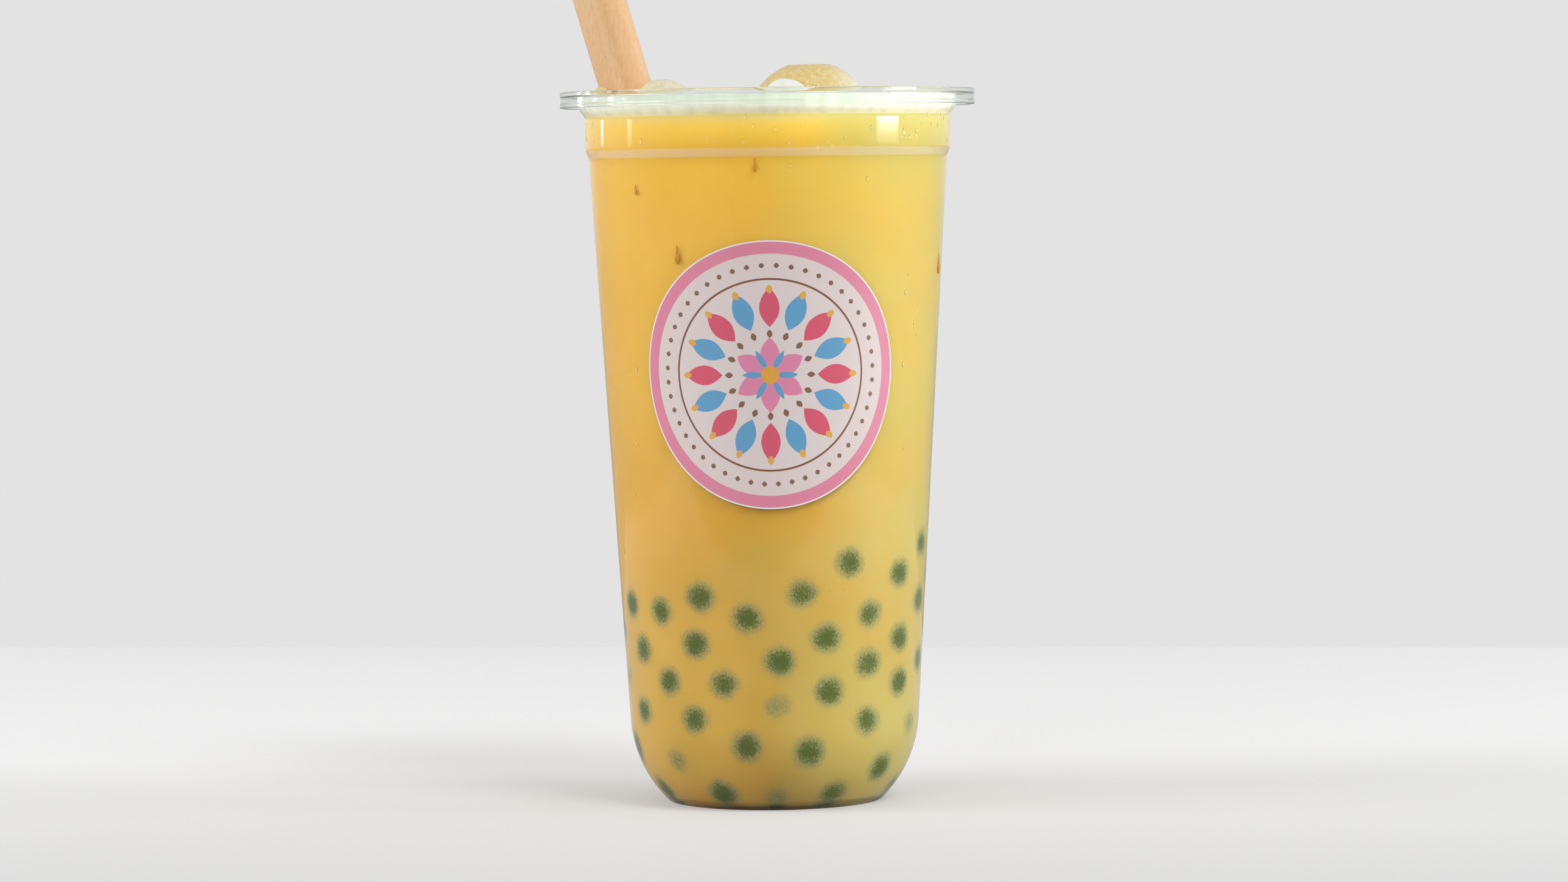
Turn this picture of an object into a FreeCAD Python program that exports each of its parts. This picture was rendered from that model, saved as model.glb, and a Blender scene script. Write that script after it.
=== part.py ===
# A takeaway cup of bubble tea: a clear thin-walled cup with a round bottom, filled with drink up to the
# top of its neck band, with ice standing out of the drink, a wide straw and a round paper label.
# Millimetres, +Z up. The origin is the centre of the cup's foot ring, on the surface it stands on,
# and the label faces -Y.

import FreeCAD
import Part
import Sketcher

import math
import os

SIZES = (
    # cup: moulded clear polypropylene
    ("cup_height", 162.7, "foot to the top of the rim"),
    ("wall", 0.9, "wall, measured level across the cup"),
    ("band_radius", 41.75, "outside of the neck band, just under the collar"),
    ("band_height", 7.7, "height of the neck band"),
    ("collar_flare", 1.45, "how far the collar stands out past the band"),
    ("collar_height", 3.1, "straight part of the collar, under the flange"),
    ("collar_slope", 1.7, "height of the sloped foot of the collar"),
    ("rim_reach", 4.3, "how far the rolled rim stands out past the collar"),
    ("rim_thickness", 0.9, "thickness of the flat flange"),
    ("lip_drop", 3.65, "height of the rim's outer lip"),
    ("lip_wall", 0.8, "thickness of the outer lip"),
    ("step_in", 0.75, "how far the stacking step takes the wall in under the band"),
    ("step_height", 1.7, "height of the sloped stacking step"),
    ("bowl_top_radius", 33.1, "outside radius where the round bottom begins"),
    ("bowl_arc", 27.75, "radius of the round bottom's arc"),
    ("foot_radius", 24.4, "outside radius of the foot ring"),
    ("foot_width", 2.4, "width of the foot ring"),
    ("foot_recess", 0.8, "how far the middle of the base is raised"),
    ("base_thickness", 1.2, "thickness of the base"),
    ("edge_round", 0.3, "rounding of the rim's and foot's outer edges"),
    # drink
    ("headspace", 5.8, "top of the rim down to the drink"),
    # straw: smooth paper tube, standing on the base and leaning over
    ("straw_diameter", 12.0, "outside diameter"),
    ("straw_wall", 0.5, "thickness of the rolled paper"),
    ("straw_length", 210.0, "end to end"),
    ("straw_rim_gap", 3.6, "straw to the inside of the collar, at the rim"),
    ("straw_rim_back", 6.0, "how far behind the middle it passes the rim"),
    ("straw_foot_side", 13.4, "how far to the right its lower end stands"),
    ("straw_foot_gap", 0.3, "lower end to the base"),
    # label: round paper sticker wrapped on the taper
    ("label_radius", 30.0, "radius of the sticker laid flat"),
    ("label_thickness", 0.2, "paper and glue"),
    ("label_below_step", 18.7, "stacking step down to the label's top edge"),
    # ice: worn cubes, each the part that a box and an egg shape have in common
    ("ice_gap", 0.6, "ice to straw, and ice to ice"),
    ("ice_dome_width", 25.2, "large piece"),
    ("ice_dome_depth", 20.0, "front to back"),
    ("ice_dome_height", 22.0, "top to bottom"),
    ("ice_dome_rise", 11.7, "its top above the drink"),
    ("ice_dome_worn", 1.1, "egg shape over box: nearer 1 is rounder"),
    ("ice_dome_turn", 0.0, "degrees round the vertical"),
    ("ice_dome_side", 9.7, "its middle to the right of the cup's"),
    ("ice_dome_back", 5.0, "its middle behind the cup's"),
    ("ice_cap_width", 14.0, "smooth piece in front of the large one"),
    ("ice_cap_depth", 10.0, "front to back"),
    ("ice_cap_height", 16.0, "top to bottom"),
    ("ice_cap_rise", 8.3, "its top above the drink"),
    ("ice_cap_worn", 1.03, "egg shape over box: nearer 1 is rounder"),
    ("ice_cap_turn", 4.0, "degrees round the vertical"),
    ("ice_cap_left", 5.0, "its middle to the left of the large piece's"),
    ("ice_side_width", 14.0, "piece to the right of the straw"),
    ("ice_side_depth", 12.0, "front to back"),
    ("ice_side_height", 15.0, "top to bottom"),
    ("ice_side_rise", 8.3, "its top above the drink"),
    ("ice_side_worn", 1.05, "egg shape over box: nearer 1 is rounder"),
    ("ice_side_turn", 15.0, "degrees round the vertical"),
    ("ice_side_bearing", -60.0, "degrees round the straw from +X"),
    ("ice_chip_width", 5.0, "chip between the straw and the wall"),
    ("ice_chip_depth", 6.0, "front to back"),
    ("ice_chip_height", 12.0, "top to bottom"),
    ("ice_chip_rise", 7.2, "its top above the drink"),
    ("ice_chip_worn", 1.05, "egg shape over box: nearer 1 is rounder"),
    ("ice_chip_turn", -10.0, "degrees round the vertical"),
    ("ice_chip_bearing", -140.0, "degrees round the straw from +X"),
)

# Heights on the cup, each a sum of named sizes, used for both the cup and what fits it.
TOP = "cup_height"
FLANGE = TOP + " - rim_thickness"
COLLAR = FLANGE + " - collar_height"
BAND = COLLAR + " - collar_slope"
STEP = BAND + " - band_height"
TAPER = STEP + " - step_height"
FLOOR = "foot_recess + base_thickness"
LEVEL = TOP + " - headspace"
TAPER_RADIUS = "band_radius - step_in"

doc = FreeCAD.newDocument("bubble_tea")
sheet = doc.addObject("Spreadsheet::Sheet", "Sizes")
for row, (alias, value, meaning) in enumerate(SIZES, start=1):
    sheet.set(f"A{row}", alias)
    sheet.set(f"B{row}", str(value))
    sheet.set(f"C{row}", meaning)
    sheet.setAlias(f"B{row}", alias)
doc.recompute()


def size(words):
    """The value of a sum of named sizes, such as "cup_height - wall"."""
    total = 0.0
    sign = 1
    for word in words.split():
        if word in "+-":
            sign = 1 if word == "+" else -1
        else:
            total += sign * float(sheet.get(word))
    return total


def formula(words):
    """The same sum as an expression on the sheet's cells."""
    return " ".join(word if word in "+-" else "Sizes." + word for word in words.split())


def new_body(name):
    """A PartDesign body and an empty sketch on its XZ plane."""
    body = doc.addObject("PartDesign::Body", name)
    body.Label = name
    return body, new_sketch(body, "XZ_Plane", name + "_section")


def new_sketch(body, role, name):
    sketch = body.newObject("Sketcher::SketchObject", name)
    plane = next(f for f in body.Origin.OriginFeatures if f.Role == role)
    sketch.AttachmentSupport = [(plane, "")]
    sketch.MapMode = "FlatFace"
    return sketch


def pin(sketch, edge, end, across, up):
    """Places one end of an edge at a named distance from each axis; "0" puts it on the axis."""
    for kind, axis, words in (("DistanceX", -2, across), ("DistanceY", -1, up)):
        if words == "0":
            sketch.addConstraint(Sketcher.Constraint("PointOnObject", edge, end, axis))
        else:
            index = sketch.addConstraint(Sketcher.Constraint(kind, -1, 1, edge, end, size(words)))
            sketch.setExpression(f"Constraints[{index}]", formula(words))


def join(sketch, first, second):
    """The end of one edge is the start of the next."""
    sketch.addConstraint(Sketcher.Constraint("Coincident", first, 2, second, 1))


def draw_line(sketch, corners):
    """Straight lines through corners that are pinned by their named distances."""
    points = []
    for corner in corners:
        across, up = (0 if words == "0" else size(words) for words in corner)
        points.append(FreeCAD.Vector(across, up, 0))
    edges = []
    for start, end in zip(points, points[1:]):
        edges.append(sketch.addGeometry(Part.LineSegment(start, end)))
    pin(sketch, edges[0], 1, *corners[0])
    for edge, corner in zip(edges, corners[1:]):
        pin(sketch, edge, 2, *corner)
    for first, second in zip(edges, edges[1:]):
        join(sketch, first, second)
    return edges


def bowl_numbers():
    """The centre of the bowl's arc in the section, and the taper's lean in radians."""
    arc = size("bowl_arc")
    lean = 0.0
    for _ in range(30):
        middle = size("bowl_top_radius") - arc * math.cos(lean)
        height = math.sqrt(arc**2 - (size("foot_radius") - middle) ** 2)
        touch_up = height - arc * math.sin(lean)
        lean = math.atan((size(TAPER_RADIUS) - size("bowl_top_radius")) / (size(TAPER) - touch_up))
    return FreeCAD.Vector(middle, height, 0), lean


def bowl_and_taper(sketch, inset, low, across):
    """An arc of the round bottom from the height low, and the straight taper that leaves it tangent."""
    centre, lean = bowl_numbers()
    radius = size("bowl_arc") - inset
    circle = Part.Circle(centre, FreeCAD.Vector(0, 0, 1), radius)
    arc = sketch.addGeometry(Part.ArcOfCircle(circle, -math.asin((centre.y - low) / radius), -lean))
    touch = centre + FreeCAD.Vector(math.cos(lean), -math.sin(lean), 0) * radius
    line = sketch.addGeometry(Part.LineSegment(touch, FreeCAD.Vector(size(across), size(TAPER), 0)))
    sketch.addConstraint(Sketcher.Constraint("Tangent", arc, 2, line, 1))
    pin(sketch, line, 2, across, TAPER)
    return arc, line


def draw_outside(sketch):
    """The outside of the round bottom and the taper, from the foot to the stacking step."""
    arc, line = bowl_and_taper(sketch, 0, 0, TAPER_RADIUS)
    pin(sketch, arc, 1, "foot_radius", "0")
    bowl_top = size("bowl_top_radius")
    index = sketch.addConstraint(Sketcher.Constraint("Radius", arc, size("bowl_arc")))
    sketch.setExpression(f"Constraints[{index}]", formula("bowl_arc"))
    index = sketch.addConstraint(Sketcher.Constraint("DistanceX", -1, 1, line, 1, bowl_top))
    sketch.setExpression(f"Constraints[{index}]", formula("bowl_top_radius"))
    return arc, line


def draw_inside(sketch, outer_arc, outer_line):
    """The inside of the wall, from the middle of the floor up to the top of the rim."""
    _, lean = bowl_numbers()
    inset = size("wall") * math.cos(lean)
    arc, line = bowl_and_taper(sketch, inset, size(FLOOR), TAPER_RADIUS + " - wall")
    sketch.addConstraint(Sketcher.Constraint("Coincident", arc, 3, outer_arc, 3))
    sketch.addConstraint(Sketcher.Constraint("Parallel", line, outer_line))
    index = sketch.addConstraint(Sketcher.Constraint("DistanceY", -1, 1, arc, 1, size(FLOOR)))
    sketch.setExpression(f"Constraints[{index}]", formula(FLOOR))
    base = sketch.addGeometry(Part.LineSegment(FreeCAD.Vector(0, size(FLOOR), 0), sketch.getPoint(arc, 1)))
    pin(sketch, base, 1, "0", FLOOR)
    join(sketch, base, arc)
    draw_line(
        sketch,
        [
            (TAPER_RADIUS + " - wall", TAPER),
            ("band_radius - wall", STEP),
            ("band_radius - wall", BAND),
            ("band_radius + collar_flare - wall", COLLAR),
            ("band_radius + collar_flare - wall", TOP),
        ],
    )
    return base


def turn_round(body, sketch, name):
    """Revolves a section about the cup's axis."""
    solid = body.newObject("PartDesign::Revolution", name)
    solid.Profile = sketch
    solid.ReferenceAxis = (sketch, ["V_Axis"])
    solid.Angle = 360
    sketch.Visibility = False
    return solid


def make_cup():
    """Base with a foot ring, round bottom, taper, stacking step, neck band, collar, flange and outer lip."""
    body, sketch = new_body("cup")
    arc, line = draw_outside(sketch)
    foot = draw_line(
        sketch,
        [
            ("0", "foot_recess"),
            ("foot_radius - foot_width", "foot_recess"),
            ("foot_radius - foot_width", "0"),
            ("foot_radius", "0"),
        ],
    )
    rim = draw_line(
        sketch,
        [
            (TAPER_RADIUS, TAPER),
            ("band_radius", STEP),
            ("band_radius", BAND),
            ("band_radius + collar_flare", COLLAR),
            ("band_radius + collar_flare", FLANGE),
            ("band_radius + collar_flare + rim_reach - lip_wall", FLANGE),
            ("band_radius + collar_flare + rim_reach - lip_wall", TOP + " - lip_drop"),
            ("band_radius + collar_flare + rim_reach", TOP + " - lip_drop"),
            ("band_radius + collar_flare + rim_reach", TOP),
            ("band_radius + collar_flare - wall", TOP),
        ],
    )
    base = draw_inside(sketch, arc, line)
    middle_low = FreeCAD.Vector(0, size("foot_recess"), 0)
    middle_high = FreeCAD.Vector(0, size(FLOOR), 0)
    axis = sketch.addGeometry(Part.LineSegment(middle_high, middle_low))
    sketch.addConstraint(Sketcher.Constraint("Coincident", axis, 1, base, 1))
    sketch.addConstraint(Sketcher.Constraint("Coincident", axis, 2, foot[0], 1))
    doc.recompute()
    solid = turn_round(body, sketch, "cup_wall")
    doc.recompute()
    outer = size("band_radius + collar_flare + rim_reach")
    rounded = ((outer, size(TOP)), (outer, size(TOP + " - lip_drop")), (size("foot_radius"), 0))
    same_place = 0.001
    names = []
    for number, edge in enumerate(solid.Shape.Edges, start=1):
        if edge.Curve.TypeId != "Part::GeomCircle":
            continue
        here = (edge.Curve.Radius, edge.Curve.Center.z)
        if any(math.dist(here, place) < same_place for place in rounded):
            names.append(f"Edge{number}")
    rounding = body.newObject("PartDesign::Fillet", "cup_edges")
    rounding.Base = (solid, names)
    rounding.setExpression("Radius", formula("edge_round"))
    return body


def make_space():
    """All that the cup can hold, up to the rim: the drink is cut from it."""
    body, sketch = new_body("cup_space")
    arc, line = draw_outside(sketch)
    for edge in (arc, line):
        sketch.setConstruction(edge, True)
    base = draw_inside(sketch, arc, line)
    lid = draw_line(sketch, [("band_radius + collar_flare - wall", TOP), ("0", TOP)])[0]
    high = FreeCAD.Vector(0, size(TOP), 0)
    low = FreeCAD.Vector(0, size(FLOOR), 0)
    axis = sketch.addGeometry(Part.LineSegment(high, low))
    join(sketch, lid, axis)
    sketch.addConstraint(Sketcher.Constraint("Coincident", axis, 2, base, 1))
    doc.recompute()
    turn_round(body, sketch, "cup_space_fill")
    return body


def straw_ends():
    """The straw's axis: the middle of its lower end, and the point where it passes the top of the rim."""
    radius = size("straw_diameter") / 2
    reach = size("band_radius + collar_flare - wall - straw_rim_gap") - radius
    back = size("straw_rim_back")
    rim = FreeCAD.Vector(-math.sqrt(reach**2 - back**2), back, size(TOP))
    foot = FreeCAD.Vector(size("straw_foot_side"), 0, size(FLOOR + " + straw_foot_gap"))
    lean = (rim - foot).getAngle(FreeCAD.Vector(0, 0, 1))
    foot.z += radius * math.sin(lean)
    return foot, rim


def make_straw():
    """An open paper tube with square-cut ends."""
    body = doc.addObject("PartDesign::Body", "straw")
    body.Label = "straw"
    sketch = new_sketch(body, "XY_Plane", "straw_section")
    outside = size("straw_diameter") / 2
    inside = size("straw_diameter") / 2 - size("straw_wall")
    circles = ((outside, "Sizes.straw_diameter / 2"), (inside, "Sizes.straw_diameter / 2 - Sizes.straw_wall"))
    for radius, words in circles:
        circle = Part.Circle(FreeCAD.Vector(0, 0, 0), FreeCAD.Vector(0, 0, 1), radius)
        edge = sketch.addGeometry(circle)
        sketch.addConstraint(Sketcher.Constraint("Coincident", edge, 3, -1, 1))
        index = sketch.addConstraint(Sketcher.Constraint("Radius", edge, radius))
        sketch.setExpression(f"Constraints[{index}]", words)
    tube = body.newObject("PartDesign::Pad", "straw_tube")
    tube.Profile = sketch
    tube.setExpression("Length", formula("straw_length"))
    sketch.Visibility = False
    foot, rim = straw_ends()
    body.Placement = FreeCAD.Placement(foot, FreeCAD.Rotation(FreeCAD.Vector(0, 0, 1), rim - foot))
    return body


def beside_straw(name):
    """The middle of an ice piece that lies against the straw, on its own bearing."""
    foot, rim = straw_ends()
    level = size(LEVEL)
    share = (level - foot.z) / (rim.z - foot.z)
    at_level = foot + (rim - foot) * share
    widest = max(size(name + "_width"), size(name + "_depth")) / 2 * size(name + "_worn")
    clear = size("straw_diameter") / 2 + size("ice_gap") + widest
    bearing = math.radians(size(name + "_bearing"))
    return at_level.x + clear * math.cos(bearing), at_level.y + clear * math.sin(bearing)


def in_front_of_dome(name):
    """The middle of the ice piece that lies against the front of the large one."""
    across = size("ice_dome_side") - size(name + "_left")
    back = size("ice_dome_back - ice_gap")
    for piece in ("ice_dome", name):
        back -= size(piece + "_depth") / 2 * size(piece + "_worn")
    return across, back


def make_ice(name, across, back):
    """A worn cube: a box with its corners and edges taken off by an egg shape about the same middle."""
    box = doc.addObject("Part::Box", name + "_cube")
    egg = doc.addObject("Part::Ellipsoid", name + "_egg")
    sides = (
        ("_width", "Length", "Radius2"),
        ("_depth", "Width", "Radius3"),
        ("_height", "Height", "Radius1"),
    )
    for word, edge, radius in sides:
        box.setExpression(edge, formula(name + word))
        egg.setExpression(radius, f"Sizes.{name}{word} / 2 * Sizes.{name}_worn")
    half = FreeCAD.Vector(*(size(name + word) / 2 for word, _, _ in sides))
    middle = FreeCAD.Vector(across, back, size(f"{LEVEL} + {name}_rise") - half.z)
    turn = FreeCAD.Rotation(FreeCAD.Vector(0, 0, 1), size(name + "_turn"))
    egg.Placement = FreeCAD.Placement(middle, turn)
    box.Placement = FreeCAD.Placement(middle - turn.multVec(half), turn)
    ice = doc.addObject("Part::Common", name)
    ice.Base = box
    ice.Tool = egg
    ice.Label = name
    return ice


def make_drink(space, straw, ice):
    """The cup's space up to the drink's level, less the straw's paper and the ice."""
    air = doc.addObject("Part::Cylinder", "air")
    air.setExpression("Radius", formula("band_radius + collar_flare"))
    air.setExpression("Height", formula("headspace + wall"))
    air.Placement.Base.z = size(LEVEL)
    taken = doc.addObject("Part::MultiFuse", "not_drink")
    taken.Shapes = [air, straw, *ice]
    drink = doc.addObject("Part::Cut", "drink")
    drink.Base = space
    drink.Tool = taken
    drink.Label = "drink"
    return drink


def make_label():
    """A thin disc wrapped on the taper: across the cup its outline is bent round the wall, so that a point
    u from the middle line lies at R sin(u / R)."""
    _, lean = bowl_numbers()
    reach = size("label_radius")
    middle = size(TAPER + " - label_below_step") - reach
    slope = math.tan(lean)
    round_middle = size(TAPER_RADIUS) - (size(TAPER) - middle) * slope

    def cone(extra):
        """The taper's outside over the label's height, thickened by extra."""
        low = round_middle - reach * slope + extra
        high = round_middle + reach * slope + extra
        return Part.makeCone(low, high, 2 * reach, FreeCAD.Vector(0, 0, middle - reach))

    outline = []
    steps = 48
    for step in range(steps):
        turn = math.tau * step / steps
        across = round_middle * math.sin(reach * math.cos(turn) / round_middle)
        outline.append(FreeCAD.Vector(across, 0, middle + reach * math.sin(turn)))
    edge = Part.BSplineCurve()
    edge.interpolate(outline, PeriodicFlag=True)
    face = Part.Face(Part.Wire([edge.toShape()]))
    punch = face.extrude(FreeCAD.Vector(0, -2 * round_middle, 0))
    shell = cone(size("label_thickness") / math.cos(lean)).cut(cone(0))
    label = doc.addObject("Part::Feature", "label")
    label.Label = "label"
    label.Shape = shell.common(punch).Solids[0]
    label.Placement = FreeCAD.Placement()
    return label


cup = make_cup()
space = make_space()
straw = make_straw()
ice = [
    make_ice("ice_dome", size("ice_dome_side"), size("ice_dome_back")),
    make_ice("ice_cap", *in_front_of_dome("ice_cap")),
    make_ice("ice_side", *beside_straw("ice_side")),
    make_ice("ice_chip", *beside_straw("ice_chip")),
]
drink = make_drink(space, straw, ice)
label = make_label()
doc.recompute()

for thing in doc.Objects:
    if {"Invalid", "Error"} & set(thing.State):
        raise RuntimeError(f"{thing.Name} failed: {thing.State}")

parts = [cup, drink, straw, label, *ice]
for part in parts:
    if part.Shape.isNull() or not part.Shape.isValid() or len(part.Shape.Solids) != 1:
        raise RuntimeError(f"{part.Label} is not one valid solid")

os.makedirs("parts", exist_ok=True)
for part in parts:
    part.Shape.exportStep(f"parts/{part.Label}.step")
    print(f"{part.Label}: {part.Shape.Volume / 1000:.2f} ml")
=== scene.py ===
# A takeaway cup of yellow milk tea with green pearls, ice, a wide paper straw and a round paper label.
# Metres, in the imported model's own frame: +Z up, the cup's axis on Z, the label facing -Y.
import math

import bpy
import numpy as np
from mathutils import Matrix, Vector


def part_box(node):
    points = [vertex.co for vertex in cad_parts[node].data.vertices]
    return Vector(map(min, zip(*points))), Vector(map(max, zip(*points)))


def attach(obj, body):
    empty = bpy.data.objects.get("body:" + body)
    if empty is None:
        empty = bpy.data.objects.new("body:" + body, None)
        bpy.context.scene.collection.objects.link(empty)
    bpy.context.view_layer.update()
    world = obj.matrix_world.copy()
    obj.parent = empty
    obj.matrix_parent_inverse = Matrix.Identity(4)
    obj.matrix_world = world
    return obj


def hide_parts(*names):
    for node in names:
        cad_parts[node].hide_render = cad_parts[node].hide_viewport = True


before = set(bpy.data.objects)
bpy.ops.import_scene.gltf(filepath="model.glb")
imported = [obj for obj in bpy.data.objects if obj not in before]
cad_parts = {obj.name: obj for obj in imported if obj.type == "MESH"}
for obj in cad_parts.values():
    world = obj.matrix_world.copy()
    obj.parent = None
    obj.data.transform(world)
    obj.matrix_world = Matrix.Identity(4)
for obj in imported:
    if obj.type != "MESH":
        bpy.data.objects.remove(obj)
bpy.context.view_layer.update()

mm = 0.001

# ---------------------------------------------------------------------------------------------------------
# Cup: one piece of clear polypropylene, injection moulded. A raised base stands on a foot ring. Above it are
# a round bottom, a long taper, a stacking step, a neck band, a collar and a flange with a hanging lip.
# ---------------------------------------------------------------------------------------------------------
cup_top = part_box("cup")[1].z
rim_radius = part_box("cup")[1].x
wall = 0.9 * mm
lip_wall = 0.8 * mm
lip_low = cup_top - 3.65 * mm
flange_low = cup_top - 0.9 * mm
collar_radius = rim_radius - 4.3 * mm
collar_low = flange_low - 3.1 * mm
band_radius = collar_radius - 1.45 * mm
band_top = collar_low - 1.7 * mm
band_low = band_top - 7.7 * mm
taper_radius = band_radius - 0.75 * mm
taper_top = band_low - 1.7 * mm
bowl_arc = 27.75 * mm
bowl_top_radius = 33.1 * mm
foot_radius = 24.4 * mm
foot_width = 2.4 * mm
base_low = 0.8 * mm
base_high = 2.0 * mm

# The round bottom is an arc that meets the taper without a corner, so the taper's lean is found in steps.
taper_lean = 0.0
for _ in range(20):
    bowl_radius = bowl_top_radius - bowl_arc * math.cos(taper_lean)
    bowl_height = math.sqrt(bowl_arc**2 - (foot_radius - bowl_radius) ** 2)
    taper_low = bowl_height - bowl_arc * math.sin(taper_lean)
    taper_lean = math.atan((taper_radius - bowl_top_radius) / (taper_top - taper_low))


def wall_line(inset, low, spacing):
    """The round bottom and the taper as (radius, height) points, this far inside the outer face."""
    arc = bowl_arc - inset
    start = -math.asin((bowl_height - low) / arc)
    count = max(8, round(arc * (-taper_lean - start) / spacing))
    turns = np.linspace(start, -taper_lean, count)
    line = [(bowl_radius + arc * math.cos(t), bowl_height + arc * math.sin(t)) for t in turns]
    count = max(2, round((taper_top - line[-1][1]) / spacing))
    below, above = line[-1], (taper_radius - inset, taper_top)
    for share in np.linspace(0, 1, count)[1:]:
        line.append(tuple(a + (b - a) * share for a, b in zip(below, above)))
    return line


def rounded(corners):
    """A line through (radius, height, rounding in mm) corners, with each corner eased off by its rounding. A
    point just beyond each curve keeps the straight parts flat under smooth shading."""
    line = []
    for number, (radius, height, ease) in enumerate(corners):
        here = np.array((radius, height))
        if not ease or number in (0, len(corners) - 1):
            line.append(tuple(here))
            continue
        ends, beyond = [], []
        for other in (corners[number - 1], corners[number + 1]):
            away = np.array(other[:2]) - here
            length = np.linalg.norm(away)
            ends.append(here + away * min(0.42, ease * mm / length))
            beyond.append(here + away * min(0.48, (ease + 0.2) * mm / length))
        line.append(tuple(beyond[0]))
        for share in (0, 0.25, 0.5, 0.75, 1):
            curve = (1 - share) ** 2 * ends[0] + 2 * share * (1 - share) * here + share**2 * ends[1]
            line.append(tuple(curve))
        line.append(tuple(beyond[1]))
    return line


def lathe(name, line, steps):
    """Turns a line of (radius, height) points round the cup's axis. Ends that lie on the axis close up."""
    bpy.ops.object.select_all(action="DESELECT")
    bpy.ops.mesh.primitive_plane_add(size=mm)
    piece = bpy.context.active_object
    piece.name = name
    bpy.ops.object.mode_set(mode="EDIT")
    bpy.ops.mesh.merge(type="CENTER")
    bpy.ops.transform.translate(value=(line[0][0], 0, line[0][1]))
    for (radius, height), (next_radius, next_height) in zip(line, line[1:]):
        move = {"value": (next_radius - radius, 0, next_height - height)}
        bpy.ops.mesh.extrude_region_move(TRANSFORM_OT_translate=move)
    bpy.ops.mesh.select_all(action="SELECT")
    bpy.ops.mesh.spin(steps=steps, angle=math.tau, center=(0, 0, 0), axis=(0, 0, 1))
    bpy.ops.mesh.select_all(action="SELECT")
    bpy.ops.mesh.remove_doubles(threshold=0.002 * mm)
    bpy.ops.mesh.normals_make_consistent(inside=False)
    bpy.ops.object.mode_set(mode="OBJECT")
    return piece


def smooth(piece, degrees):
    """Smooth shading, with a crisp edge wherever two faces meet at more than this."""
    bpy.ops.object.select_all(action="DESELECT")
    piece.select_set(True)
    bpy.context.view_layer.objects.active = piece
    bpy.ops.object.shade_smooth_by_angle(angle=math.radians(degrees))


def colour(code):
    """An sRGB hex colour as linear red, green, blue and alpha."""
    values = [int(code[i:i + 2], 16) / 255 for i in (1, 3, 5)]
    return (*(v / 12.92 if v <= 0.04045 else ((v + 0.055) / 1.055) ** 2.4 for v in values), 1)


def add_node(tree, kind, inputs, **settings):
    """Adds a shader node with its settings; each input takes a value or another node's output."""
    node = tree.nodes.new("ShaderNode" + kind)
    for setting, value in settings.items():
        setattr(node, setting, value)
    for socket, value in inputs.items():
        if isinstance(value, bpy.types.NodeSocket):
            tree.links.new(value, node.inputs[socket])
        else:
            node.inputs[socket].default_value = value
    return node


def new_material(name):
    """A material with an empty node tree."""
    material = bpy.data.materials.new(name)
    material.use_nodes = True
    material.node_tree.nodes.clear()
    return material, material.node_tree


gate_radius = 2 * mm
outside = [
    (0, base_low - 0.25 * mm, 0),
    (gate_radius, base_low - 0.25 * mm, 0.1),
    (gate_radius + 0.3 * mm, base_low, 0.1),
    (foot_radius - foot_width - 0.4 * mm, base_low, 0.3),
    (foot_radius - foot_width, 0, 0.3),
]
outside += [(*point, 0.5 if point[1] < 0.1 * mm else 0) for point in wall_line(0, 0, 2 * mm)[:-1]]
lip_face = rim_radius - 0.12 * mm
outside += [
    (taper_radius, taper_top, 0.5),
    (band_radius, band_low, 0.5),
    (band_radius, band_top, 0.7),
    (collar_radius, collar_low, 1.1),
    (collar_radius, flange_low, 0.5),
    (lip_face - lip_wall, flange_low, 0.4),
    (lip_face - lip_wall, lip_low, 0.25),
    (rim_radius, lip_low, 0.3),
    (rim_radius, lip_low + 0.7 * mm, 0.2),
    (lip_face, lip_low + 0.95 * mm, 0.12),
    (lip_face, flange_low - 0.3 * mm, 0.12),
    (rim_radius, flange_low - 0.05 * mm, 0.12),
    (rim_radius, cup_top, 0.25),
]
inside = [
    (collar_radius - wall, cup_top, 0.35),
    (collar_radius - wall, collar_low, 1.1),
    (band_radius - wall, band_top, 0.7),
    (band_radius - wall, band_low, 0.5),
    (taper_radius - wall, taper_top, 0.5),
]
inside += [(*point, 0) for point in reversed(wall_line(wall, base_high, 2 * mm)[:-1])]
cup = lathe("cup_wall", rounded(outside + inside + [(0, base_high, 0)]), 192)
smooth(cup, 60)


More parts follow.
